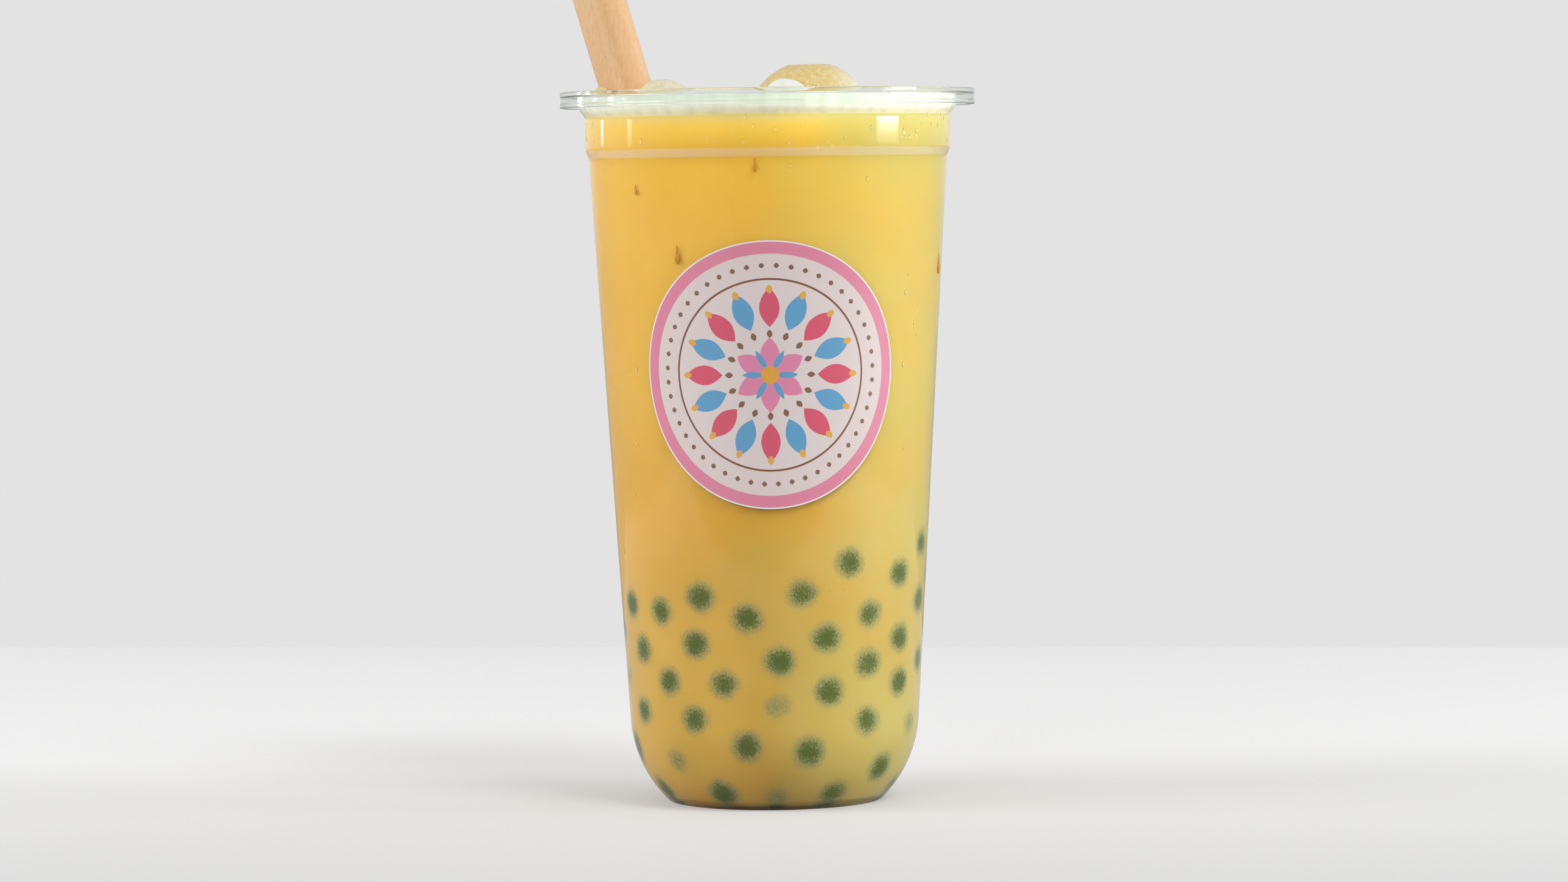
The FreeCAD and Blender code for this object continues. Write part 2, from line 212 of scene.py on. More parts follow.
def clear_polypropylene():
    """Clear moulded polypropylene, glossy, with a faint green-grey tint. Chilled by the drink it has a thin
    dew. A white band on its stacking step is a painted highlight, in place of the table's reflection there.
    Lamps shine through it."""
    material, tree = new_material("clear_polypropylene_moulded")
    place = add_node(tree, "TexCoord", {}).outputs["Object"]
    height = add_node(tree, "SeparateXYZ", {0: place}).outputs["Z"]
    step_middle = (taper_top + band_low) / 2
    from_step = add_node(tree, "Math", {0: height, 1: step_middle}, operation="SUBTRACT").outputs[0]
    from_step = add_node(tree, "Math", {0: from_step}, operation="ABSOLUTE").outputs[0]
    # Painted highlight: a white band on the stacking step stands in for the table's reflection there.
    step_highlight = add_node(
        tree,
        "MapRange",
        {0: from_step, 1: 0.5 * mm, 2: 1.3 * mm, 3: 0.24, 4: 0.0},
        interpolation_type="SMOOTHSTEP",
    ).outputs[0]
    patches = add_node(
        tree, "TexNoise", {"Vector": place, "Scale": 1 / (9 * mm), "Detail": 3.0}
    ).outputs["Fac"]
    patches = add_node(tree, "MapRange", {0: patches, 1: 0.3, 2: 0.7, 3: 0.85, 4: 1.15}).outputs[0]
    # The thin dew everywhere, plus the painted highlight on the step.
    mist = add_node(tree, "Math", {0: step_highlight, 1: 0.012}, operation="ADD").outputs[0]
    mist = add_node(tree, "Math", {0: mist, 1: patches}, operation="MULTIPLY").outputs[0]
    ripple = add_node(
        tree, "TexNoise", {"Vector": place, "Scale": 1 / (22 * mm), "Detail": 1.0}
    ).outputs["Fac"]
    bump = add_node(tree, "Bump", {"Height": ripple, "Strength": 0.1, "Distance": 0.15 * mm}).outputs[0]
    plastic = add_node(
        tree,
        "BsdfPrincipled",
        {
            "Base Color": colour("#f4f8f3"),
            "Roughness": 0.06,
            "IOR": 1.49,
            "Transmission Weight": 1.0,
            "Normal": bump,
        },
    ).outputs[0]
    dew = add_node(tree, "BsdfPrincipled", {"Base Color": colour("#e9e0e2"), "Roughness": 0.45}).outputs[0]
    surface = add_node(tree, "MixShader", {0: mist, 1: plastic, 2: dew}).outputs[0]
    lamp = add_node(tree, "LightPath", {}).outputs["Is Shadow Ray"]
    clear = add_node(tree, "BsdfTransparent", {}).outputs[0]
    surface = add_node(tree, "MixShader", {0: lamp, 1: surface, 2: clear}).outputs[0]
    add_node(tree, "OutputMaterial", {"Surface": surface})
    return material


cup.data.materials.append(clear_polypropylene())
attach(cup, "root")
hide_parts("cup")

# ---------------------------------------------------------------------------------------------------------
# Pearls: green popping pearls, about 10 mm across, that have sunk into a loose heap, higher on the right.
# Most of the outer ones touch the wall, and some lie a little behind it.
# ---------------------------------------------------------------------------------------------------------
pearl_radius = 5.0 * mm
heap_top = 54 * mm
heap_slope = 0.24
outer_pearls = 210
inner_pearls = 260
behind_wall = 0.6 * mm
random = np.random.default_rng(4)
pearl_places, pearl_radii = [], []


def add_lowest_pearl(tries, gap, spacing, share):
    """Adds one pearl in the lowest free place of some random ones, this far from the wall or at a share of
    the way to it. Nothing is added where none is free."""
    radius = pearl_radius * random.uniform(0.95, 1.02)
    turn = random.uniform(0, math.tau, tries)
    height = random.uniform(base_high + radius, heap_top + 7 * mm, tries)
    line = np.array(wall_line(wall + radius + gap, base_high + radius, 1 * mm))
    out = np.interp(height, line[:, 1], line[:, 0]) * share
    places = np.stack([out * np.cos(turn), out * np.sin(turn), height], axis=1)
    free = height < heap_top + heap_slope * places[:, 0]
    for other, other_radius in zip(pearl_places, pearl_radii):
        free &= np.linalg.norm(places - other, axis=1) > (radius + other_radius) * spacing
    if free.any():
        pearl_places.append(min(places[free], key=lambda place: place[2]))
        pearl_radii.append(radius)


for number in range(outer_pearls):
    gap = behind_wall if number % 9 == 4 else random.uniform(-0.14, 0.1) * mm
    add_lowest_pearl(2600, gap, 1.03, 1.0)
for _ in range(inner_pearls):
    add_lowest_pearl(60, 0.0, 1.0, math.sqrt(random.random()) * 0.7)


def joined_copies(name, pattern, places, sizes, turns):
    """One mesh of many copies of a small piece, each with its own place, size and turn."""
    corners = np.array([v.co for v in pattern.data.vertices])
    faces = np.array([p.vertices for p in pattern.data.polygons])
    points, sides = [], []
    for number, (place, size, turn) in enumerate(zip(places, sizes, turns)):
        points.append((corners * size) @ np.array(turn.to_matrix()).T + place)
        sides.append(faces + number * len(corners))
    mesh = bpy.data.meshes.new(name)
    mesh.from_pydata(np.concatenate(points).tolist(), [], np.concatenate(sides).tolist())
    piece = bpy.data.objects.new(name, mesh)
    bpy.context.scene.collection.objects.link(piece)
    bpy.data.objects.remove(pattern)
    smooth(piece, 70)
    return piece


def round_pattern():
    """A small ball of a few dozen faces, for joined_copies."""
    bpy.ops.object.select_all(action="DESELECT")
    bpy.ops.mesh.primitive_ico_sphere_add(subdivisions=2, radius=1)
    return bpy.context.active_object


def any_turn():
    """A random turn about a random line."""
    return Matrix.Rotation(random.uniform(0, math.tau), 4, Vector(random.normal(size=3))).to_quaternion()


pearl_sizes = [(radius, radius, radius * random.uniform(0.96, 1.0)) for radius in pearl_radii]
pearl_turns = [any_turn() for _ in pearl_radii]
pearls = joined_copies("pearls", round_pattern(), pearl_places, pearl_sizes, pearl_turns)


def pearl_skin():
    """Thin alginate skin over green juice: smooth, wet and a little see-through."""
    material, tree = new_material("alginate_pearl_skin")
    skin = add_node(
        tree,
        "BsdfPrincipled",
        {
            "Base Color": colour("#5f6b1c"),
            "Roughness": 0.2,
            "IOR": 1.36,
            "Subsurface Weight": 0.4,
            "Subsurface Radius": (1.2, 1.5, 0.5),
            "Subsurface Scale": 1 * mm,
        },
    ).outputs[0]
    add_node(tree, "OutputMaterial", {"Surface": skin})
    return material


pearls.data.materials.append(pearl_skin())
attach(pearls, "root")

# ---------------------------------------------------------------------------------------------------------
# Drink: milky mango-yellow tea, filled to the top of the neck band. It reaches a little way into the wall, so
# that no air shows between them. Where a pearl lies close to the wall, the thin milk over it shows green.
# ---------------------------------------------------------------------------------------------------------
drink_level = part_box("drink")[1].z
reach_in = 0.15 * mm
fine = 0.56 * mm
fine_top = heap_top + 16 * mm
deepest_seen = 9.0
drink_inset = wall - reach_in
drink_line = [(0, base_high - reach_in)]
drink_line += [(r, base_high - reach_in) for r in np.arange(2 * mm, 24.5 * mm, 1.5 * mm)]
side_line = wall_line(drink_inset, base_high - reach_in, fine)
drink_line += [p for i, p in enumerate(side_line) if p[1] < fine_top or i % 8 == 0]
edge_radius = band_radius - drink_inset
drink_line += [
    (taper_radius - drink_inset, taper_top),
    (edge_radius, band_low),
    (edge_radius, drink_level - 3 * mm),
    (edge_radius, drink_level + 0.35 * mm),
    (edge_radius - 0.25 * mm, drink_level + 0.2 * mm),
    (edge_radius - 0.7 * mm, drink_level + 0.08 * mm),
    (edge_radius - 1.6 * mm, drink_level),
]
drink_line += [(edge_radius - out * mm, drink_level) for out in (4, 8, 14, 20, 26, 32, 37)]
drink_line.append((0, drink_level))
drink = lathe("milk_tea", drink_line, 384)
smooth(drink, 60)

# How many millimetres of milk lie between each corner of the skin and the nearest pearl.
corners = np.zeros(len(drink.data.vertices) * 3)
drink.data.vertices.foreach_get("co", corners)
corners = corners.reshape(-1, 3)
milk_over = np.full(len(corners), deepest_seen)
for place, radius in zip(pearl_places, pearl_radii):
    near = np.abs(corners[:, 2] - place[2]) < deepest_seen * mm
    apart = (np.linalg.norm(corners[near] - place, axis=1) - radius) / mm
    milk_over[near] = np.minimum(milk_over[near], apart)
layer = drink.data.attributes.new("milk_over_pearls", "FLOAT", "POINT")
layer.data.foreach_set("value", milk_over.astype(np.float32))


def set_tones(ramp, tones):
    """Sets a colour ramp to these (position, colour) pairs."""
    while len(ramp.elements) < len(tones):
        ramp.elements.new(0.5)
    for element, (at, code) in zip(ramp.elements, tones):
        element.position = at
        element.color = colour(code)


def milk_tea():
    """Milk tea is opaque within a millimetre and scatters light softly. Painted light makes it warmer on the
    left and paler on the right, for a warm light from the left and a brighter one from the right. Green shows
    where the milk over a pearl is thin, with a grainy edge from the fine pulp in it. Painted shade darkens it
    towards the bottom."""
    material, tree = new_material("milk_tea_behind_wall")
    place = add_node(tree, "TexCoord", {}).outputs["Object"]
    axes = add_node(tree, "SeparateXYZ", {0: place})
    # Painted shade and light: the tea darkens towards the bottom and brightens near the level, as light falls
    # from above.
    rise = add_node(tree, "MapRange", {0: axes.outputs["Z"], 1: 0.0, 2: drink_level}).outputs[0]
    tea = add_node(tree, "ValToRGB", {0: rise})
    tones = (
        (0.0, "#c4922a"),
        (0.06, "#c39c34"),
        (0.25, "#c79f38"),
        (0.42, "#d2a23a"),
        (0.6, "#ddb24a"),
        (0.85, "#e0b444"),
        (0.955, "#e5bb3a"),
        (0.985, "#efca50"),
        (1.0, "#ead98f"),
    )
    set_tones(tea.color_ramp, tones)
    # Painted light: a warm tint on the left and a paler one on the right, with a noise that wobbles where
    # they begin.
    light_wobble = add_node(tree, "TexNoise", {"Vector": place, "Scale": 1 / (28 * mm), "Detail": 2.0}).outputs["Fac"]
    light_wobble = add_node(tree, "MapRange", {0: light_wobble, 1: 0.3, 2: 0.7, 3: -14 * mm, 4: 14 * mm}).outputs[0]
    across = add_node(tree, "Math", {0: axes.outputs["X"], 1: light_wobble}, operation="ADD").outputs[0]
    warm_light = add_node(tree, "MapRange", {0: across, 1: 4 * mm, 2: -42 * mm, 3: 0.0, 4: 0.45}).outputs[0]
    pale = add_node(tree, "MapRange", {0: across, 1: -6 * mm, 2: 40 * mm, 3: 0.0, 4: 0.7}).outputs[0]
    tea = add_node(
        tree, "Mix", {0: warm_light, 6: tea.outputs[0], 7: colour("#f1c665")}, data_type="RGBA"
    ).outputs[2]
    tea = add_node(tree, "Mix", {0: pale, 6: tea, 7: colour("#bebb72")}, data_type="RGBA").outputs[2]
    over = add_node(tree, "Attribute", {}, attribute_name="milk_over_pearls").outputs["Fac"]
    for size, spread in ((0.42 * mm, 0.3), (3.5 * mm, 0.16)):
        pulp = add_node(tree, "TexNoise", {"Vector": place, "Scale": 1 / size, "Detail": 1.0}).outputs["Fac"]
        pulp = add_node(tree, "MapRange", {0: pulp, 1: 0.25, 2: 0.75, 3: -spread, 4: spread}).outputs[0]
        over = add_node(tree, "Math", {0: over, 1: pulp}, operation="ADD").outputs[0]
    fringe = add_node(
        tree, "MapRange", {0: over, 1: 0.35, 2: 1.8, 3: 0.85, 4: 0.0}, interpolation_type="SMOOTHSTEP"
    ).outputs[0]
    core = add_node(
        tree, "MapRange", {0: over, 1: 0.15, 2: 0.9, 3: 1.0, 4: 0.0}, interpolation_type="SMOOTHSTEP"
    ).outputs[0]
    body = add_node(tree, "Mix", {0: fringe, 6: tea, 7: colour("#7d8758")}, data_type="RGBA").outputs[2]
    body = add_node(tree, "Mix", {0: core, 6: body, 7: colour("#4f5f08")}, data_type="RGBA").outputs[2]
    milk = add_node(
        tree,
        "BsdfPrincipled",
        {
            "Base Color": body,
            "Roughness": 0.5,
            "IOR": 1.34,
            "Specular IOR Level": 0.1,
            "Subsurface Weight": 0.1,
            "Subsurface Radius": (1.4, 1.0, 0.5),
            "Subsurface Scale": 0.8 * mm,
        },
    ).outputs[0]
    add_node(tree, "OutputMaterial", {"Surface": milk})
    return material


drink.data.materials.append(milk_tea())
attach(drink, "root")
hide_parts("drink")

# ---------------------------------------------------------------------------------------------------------
# Foam film: shaking has left milk foam on the wall above the drink, up to the flange. It is a thin skin,
# cream where it meets the drink and white with mist above, and it hides what stands behind it.
# ---------------------------------------------------------------------------------------------------------
film_skin = 0.25 * mm
film_corners = [
    (band_radius - wall, drink_level - 0.5 * mm, 0),
    (band_radius - wall, band_top, 0.7),
    (collar_radius - wall, collar_low, 1.1),
    (collar_radius - wall, cup_top - 1.2 * mm, 0),
]
film_line = [(radius + 0.1 * mm, height) for radius, height in rounded(film_corners)]
film_line += [(radius - film_skin, height) for radius, height in reversed(film_line)]
film_line.append(film_line[0])
film = lathe("foam_film", film_line, 192)
smooth(film, 50)


def foam_film():
    """Collapsed milk foam and mist: chalky, matt, nearly opaque, patchy where it has begun to run."""
    material, tree = new_material("milk_foam_film")
    place = add_node(tree, "TexCoord", {}).outputs["Object"]
    height = add_node(tree, "SeparateXYZ", {0: place}).outputs["Z"]
    rise = add_node(tree, "MapRange", {0: height, 1: drink_level, 2: drink_level + 4 * mm}).outputs[0]
    tone = add_node(tree, "ValToRGB", {0: rise})
    tones = ((0.0, "#faf0c4"), (0.25, "#fbf7e2"), (0.6, "#f0f3e6"), (1.0, "#e9f0e6"))
    set_tones(tone.color_ramp, tones)
    run = add_node(tree, "Mapping", {"Vector": place, "Scale": (1, 1, 0.4)}).outputs[0]
    patches = add_node(
        tree, "TexNoise", {"Vector": run, "Scale": 1 / (2.5 * mm), "Detail": 4.0}
    ).outputs["Fac"]
    cover = add_node(tree, "MapRange", {0: patches, 1: 0.3, 2: 0.62, 3: 0.84, 4: 1.0}).outputs[0]
    foam = add_node(tree, "BsdfPrincipled", {"Base Color": tone.outputs[0], "Roughness": 0.6}).outputs[0]
    clear = add_node(tree, "BsdfTransparent", {}).outputs[0]
    surface = add_node(tree, "MixShader", {0: cover, 1: clear, 2: foam}).outputs[0]
    add_node(tree, "OutputMaterial", {"Surface": surface})
    return material


film.data.materials.append(foam_film())
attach(film, "root")

# ---------------------------------------------------------------------------------------------------------
# Straw: a wide tube wound from smooth tan paper, cut square at both ends. It stands on the base and leans
# over to the left.
# ---------------------------------------------------------------------------------------------------------
straw_radius = 6 * mm
straw_wall = 0.5 * mm
straw_length = 210 * mm
straw_points = np.array([v.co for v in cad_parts["straw"].data.vertices])
straw_middle = (straw_points.min(axis=0) + straw_points.max(axis=0)) / 2
straw_axis = np.linalg.svd(straw_points - straw_points.mean(axis=0), full_matrices=False)[2][0]
straw_axis *= np.sign(straw_axis[2])
straw_turn = Vector((0, 0, 1)).rotation_difference(Vector(straw_axis))


def apply_modifier(piece, kind, **settings):
    """Adds a modifier to a piece with its settings and applies it."""
    bpy.context.view_layer.objects.active = piece
    modifier = piece.modifiers.new(kind.lower(), kind)
    for setting, value in settings.items():
        setattr(modifier, setting, value)
    bpy.ops.object.modifier_apply(modifier=modifier.name)


bpy.ops.object.select_all(action="DESELECT")
bpy.ops.mesh.primitive_cylinder_add(
    vertices=96, radius=straw_radius, depth=straw_length, end_fill_type="NOTHING"
)
straw = bpy.context.active_object
straw.name = "paper_straw"
apply_modifier(straw, "SOLIDIFY", thickness=straw_wall, offset=-1)
apply_modifier(
    straw, "BEVEL", width=0.14 * mm, segments=2, limit_method="ANGLE", angle_limit=math.radians(40)
)
straw.data.transform(Matrix.Translation(straw_middle) @ straw_turn.to_matrix().to_4x4())
smooth(straw, 50)


def straw_paper():
    """Food-grade kraft paper, pressed smooth and waxed: tan with short fine fibres and a soft sheen."""
    material, tree = new_material("waxed_kraft_paper")
    place = add_node(tree, "TexCoord", {}).outputs["Object"]
    turned = add_node(
        tree, "Mapping", {"Vector": place, "Rotation": (0, math.radians(16), 0), "Scale": (1, 1, 0.35)}
    ).outputs[0]
    fibre = add_node(
        tree, "TexNoise", {"Vector": turned, "Scale": 1 / (0.6 * mm), "Detail": 4.0}
    ).outputs["Fac"]
    tone = add_node(tree, "ValToRGB", {0: fibre})
    set_tones(tone.color_ramp, ((0.3, "#d5a56e"), (0.7, "#deb281")))
    bump = add_node(tree, "Bump", {"Height": fibre, "Strength": 0.3, "Distance": 0.05 * mm}).outputs[0]
    paper = add_node(
        tree,
        "BsdfPrincipled",
        {
            "Base Color": tone.outputs[0],
            "Roughness": 0.45,
            "IOR": 1.5,
            "Coat Weight": 0.8,
            "Coat Roughness": 0.35,
            "Normal": bump,
        },
    ).outputs[0]
    add_node(tree, "OutputMaterial", {"Surface": paper})
    return material


straw.data.materials.append(straw_paper())
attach(straw, "root")
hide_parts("straw")

# ---------------------------------------------------------------------------------------------------------
# Ice: worn cubes that float up out of the drink. One large golden crystalline piece, with a smooth frosty
# one in front of it, a pale one against the straw, and a chip between the straw and the wall.
# ---------------------------------------------------------------------------------------------------------


def worn_cube(name, node, worn):
    """A cube cut down to what it shares with an egg shape, in its CAD node's box, with every edge melted."""
    low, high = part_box(node)
    size = high - low
    bpy.ops.object.select_all(action="DESELECT")
    bpy.ops.mesh.primitive_uv_sphere_add(radius=worn / 2, location=(low + high) / 2, scale=size)
    egg = bpy.context.active_object
    bpy.ops.object.transform_apply()
    bpy.ops.object.select_all(action="DESELECT")
    bpy.ops.mesh.primitive_cube_add(size=1, location=(low + high) / 2, scale=size)
    cube = bpy.context.active_object
    cube.name = name
    bpy.ops.object.transform_apply()
    apply_modifier(cube, "BOOLEAN", object=egg, operation="INTERSECT")
    bpy.data.objects.remove(egg)
    apply_modifier(cube, "REMESH", mode="VOXEL", voxel_size=0.32 * mm)
    apply_modifier(cube, "SMOOTH", factor=0.5, iterations=30)
    return cube


def roughen(piece, kind, scale, depth):
    """Gives the surface crystals or pits of this size and depth."""
    pattern = bpy.data.textures.new(piece.name + kind.lower(), kind)
    pattern.noise_scale = scale
    apply_modifier(piece, "DISPLACE", texture=pattern, strength=depth, mid_level=0.5, texture_coords="GLOBAL")


def ice_material(name, shade, deep, pale, pale_from, pale_to, roughness, grit):
    """Cloudy freezer ice: light scatters a few millimetres deep. White glints on the wet crystals at its skin
    are painted highlights, and painted light turns it from the drink's gold to paler white towards the right,
    between two places."""
    material, tree = new_material(name)
    place = add_node(tree, "TexCoord", {}).outputs["Object"]
    across = add_node(tree, "SeparateXYZ", {0: place}).outputs["X"]
    cells = add_node(tree, "TexVoronoi", {"Vector": place, "Scale": 1 / (0.9 * mm)}).outputs["Distance"]
    clouds = add_node(
        tree, "TexNoise", {"Vector": place, "Scale": 1 / (1.1 * mm), "Detail": 4.0}
    ).outputs["Fac"]
    streaks = add_node(tree, "MapRange", {0: clouds, 1: 0.3, 2: 0.7}).outputs[0]
    tone = add_node(tree, "Mix", {0: streaks, 6: colour(shade), 7: colour(deep)}, data_type="RGBA").outputs[2]
    # Painted highlights: white glints mixed into the colour.
    painted_glints = add_node(tree, "MapRange", {0: clouds, 1: 0.66, 2: 0.72, 3: 0.0, 4: 0.8}).outputs[0]
    tone = add_node(tree, "Mix", {0: painted_glints, 6: tone, 7: colour("#fbf8ea")}, data_type="RGBA").outputs[2]
    # Painted light: paler towards the right, where the light falls.
    right_light = add_node(tree, "MapRange", {0: across, 1: pale_from, 2: pale_to}).outputs[0]
    tone = add_node(tree, "Mix", {0: right_light, 6: tone, 7: colour(pale)}, data_type="RGBA").outputs[2]
    bump = add_node(tree, "Bump", {"Height": cells, "Strength": grit, "Distance": 0.3 * mm}).outputs[0]
    ice = add_node(
        tree,
        "BsdfPrincipled",
        {
            "Base Color": tone,
            "Roughness": roughness,
            "IOR": 1.31,
            "Transmission Weight": 0.15,
            "Subsurface Weight": 0.5,
            "Subsurface Radius": (1.0, 0.9, 0.7),
            "Subsurface Scale": 1.5 * mm,
            "Normal": bump,
        },
    ).outputs[0]
    add_node(tree, "OutputMaterial", {"Surface": ice})
    return material


golden_ice = ice_material("tea_soaked_ice", "#e9d8a0", "#dcbf74", "#e9e6d2", 14 * mm, 21 * mm, 0.25, 0.7)
frosty_ice = ice_material("frosted_ice", "#eff2ee", "#e4ebe4", "#e9efe8", 2 * mm, 12 * mm, 0.35, 0.1)
pale_ice = ice_material("pale_crushed_ice", "#e3ddc2", "#dad1ac", "#e6e3d0", -26 * mm, -18 * mm, 0.3, 0.4)

dome = worn_cube("ice_golden", "ice_dome", 1.07)
roughen(dome, "CLOUDS", 5 * mm, 0.4 * mm)
roughen(dome, "CLOUDS", 0.9 * mm, 0.3 * mm)
dome.data.materials.append(golden_ice)

cap = worn_cube("ice_frosty", "ice_cap", 1.03)
roughen(cap, "CLOUDS", 5 * mm, 0.4 * mm)

# The frosty piece slopes down to the right of its peak.
cap_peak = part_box("ice_cap")[0].x + 4.2 * mm
for vertex in cap.data.vertices:
    aside = max(0, vertex.co.x - cap_peak) / mm
    if vertex.co.z > drink_level:
        vertex.co.z -= 0.016 * mm * aside**2 * (vertex.co.z - drink_level) / (8 * mm)
cap.data.materials.append(frosty_ice)

side_lump = worn_cube("ice_pale", "ice_side", 1.05)
roughen(side_lump, "CLOUDS", 3 * mm, 1.0 * mm)
roughen(side_lump, "CLOUDS", 0.8 * mm, 0.3 * mm)
side_lump.data.materials.append(pale_ice)

chip = worn_cube("ice_small_chip", "ice_chip", 1.05)
roughen(chip, "CLOUDS", 1.5 * mm, 0.5 * mm)
chip.data.materials.append(golden_ice)

for piece, node, slot in (
    (dome, "ice_dome", "tinted_ice"),
    (cap, "ice_cap", "frosted_ice"),
    (side_lump, "ice_side", "tinted_ice"),
    (chip, "ice_chip", "tinted_ice"),
):
    smooth(piece, 60)
    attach(piece, "root")
    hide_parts(node)

# ---------------------------------------------------------------------------------------------------------
# Froth: bubbles of milk foam, up to 2 mm across, that float round the edge of the drink and against the ice
# and the straw.
# ---------------------------------------------------------------------------------------------------------
edge_bubbles = 90
ice_bubbles = 26
bubble_places, bubble_sizes = [], []
floats = [(0, 0, edge_radius, edge_radius)]
for node in ("ice_dome", "ice_cap", "ice_side"):
    low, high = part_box(node)
    floats.append(((low.x + high.x) / 2, (low.y + high.y) / 2, (low.x - high.x) / 2, (low.y - high.y) / 2))
straw_at_level = straw_middle + straw_axis * (drink_level - straw_middle[2]) / straw_axis[2]
floats.append((straw_at_level[0], straw_at_level[1], -straw_radius, -straw_radius))
for across, back, half_width, half_depth in floats:
    for _ in range(edge_bubbles if across == back == 0 else ice_bubbles):
        turn = random.uniform(0, math.tau)
        radius = random.uniform(0.3, 0.9) * mm
        out = radius * 1.15 + random.exponential(0.8 * mm)
        aside = across + (half_width - out) * math.cos(turn)
        behind = back + (half_depth - out) * math.sin(turn)
        bubble_places.append((aside, behind, drink_level))
        bubble_sizes.append((radius, radius, radius * 0.8))
bubble_turns = [any_turn() for _ in bubble_sizes]
froth = joined_copies("froth", round_pattern(), bubble_places, bubble_sizes, bubble_turns)


def froth_bubbles():
    """Thin-walled milk bubbles: pale cream and wet."""
    material, tree = new_material("milk_froth_bubbles")
    milk = add_node(
        tree, "BsdfPrincipled", {"Base Color": colour("#f6edc4"), "Roughness": 0.12, "IOR": 1.34}
    ).outputs[0]
    add_node(tree, "OutputMaterial", {"Surface": milk})
    return material


froth.data.materials.append(froth_bubbles())
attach(froth, "root")

# ---------------------------------------------------------------------------------------------------------
# Label: a round satin paper sticker, 60 mm across, wrapped on the taper. It is printed with a pink border,
# a thin brown ring, a ring of dots, and a wreath of blue and coral leaves round a pink flower.
# ---------------------------------------------------------------------------------------------------------
label_low, label_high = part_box("label")
label_radius = (label_high.z - label_low.z) / 2
label_middle = (label_high.z + label_low.z) / 2
label_thickness = 0.15 * mm
label_lift = 0.03 * mm
bpy.ops.object.select_all(action="DESELECT")
bpy.ops.mesh.primitive_circle_add(
    vertices=144, radius=label_radius, fill_type="NGON", rotation=(math.pi / 2, 0, 0)
)
label = bpy.context.active_object
label.name = "paper_label"
bpy.ops.object.transform_apply(location=True, rotation=True, scale=True)
bpy.ops.object.mode_set(mode="EDIT")
bpy.ops.mesh.select_all(action="SELECT")
for _ in range(14):
    bpy.ops.mesh.inset(thickness=2 * mm)
bpy.ops.mesh.poke()
bpy.ops.object.mode_set(mode="OBJECT")

# The print keeps its place on the flat paper, in millimetres, when the paper is wrapped on the taper.
flat = np.array([v.co for v in label.data.vertices])
layer = label.data.attributes.new("print_place", "FLOAT_VECTOR", "POINT")
printed = np.stack([flat[:, 0], flat[:, 2], 0 * flat[:, 0]], axis=1) / mm
layer.data.foreach_set("vector", printed.astype(np.float32).ravel())
slope = math.tan(taper_lean)
middle_radius = taper_radius - (taper_top - label_middle) * slope
around = flat[:, 0] / middle_radius
radius = middle_radius + flat[:, 2] * slope + label_lift
wrapped = np.stack([radius * np.sin(around), -radius * np.cos(around), label_middle + flat[:, 2]], axis=1)
label.data.vertices.foreach_set("co", wrapped.ravel())
label.data.update()
if sum(p.normal.y for p in label.data.polygons) > 0:
    label.data.flip_normals()
apply_modifier(label, "SOLIDIFY", thickness=label_thickness, offset=1)
smooth(label, 40)


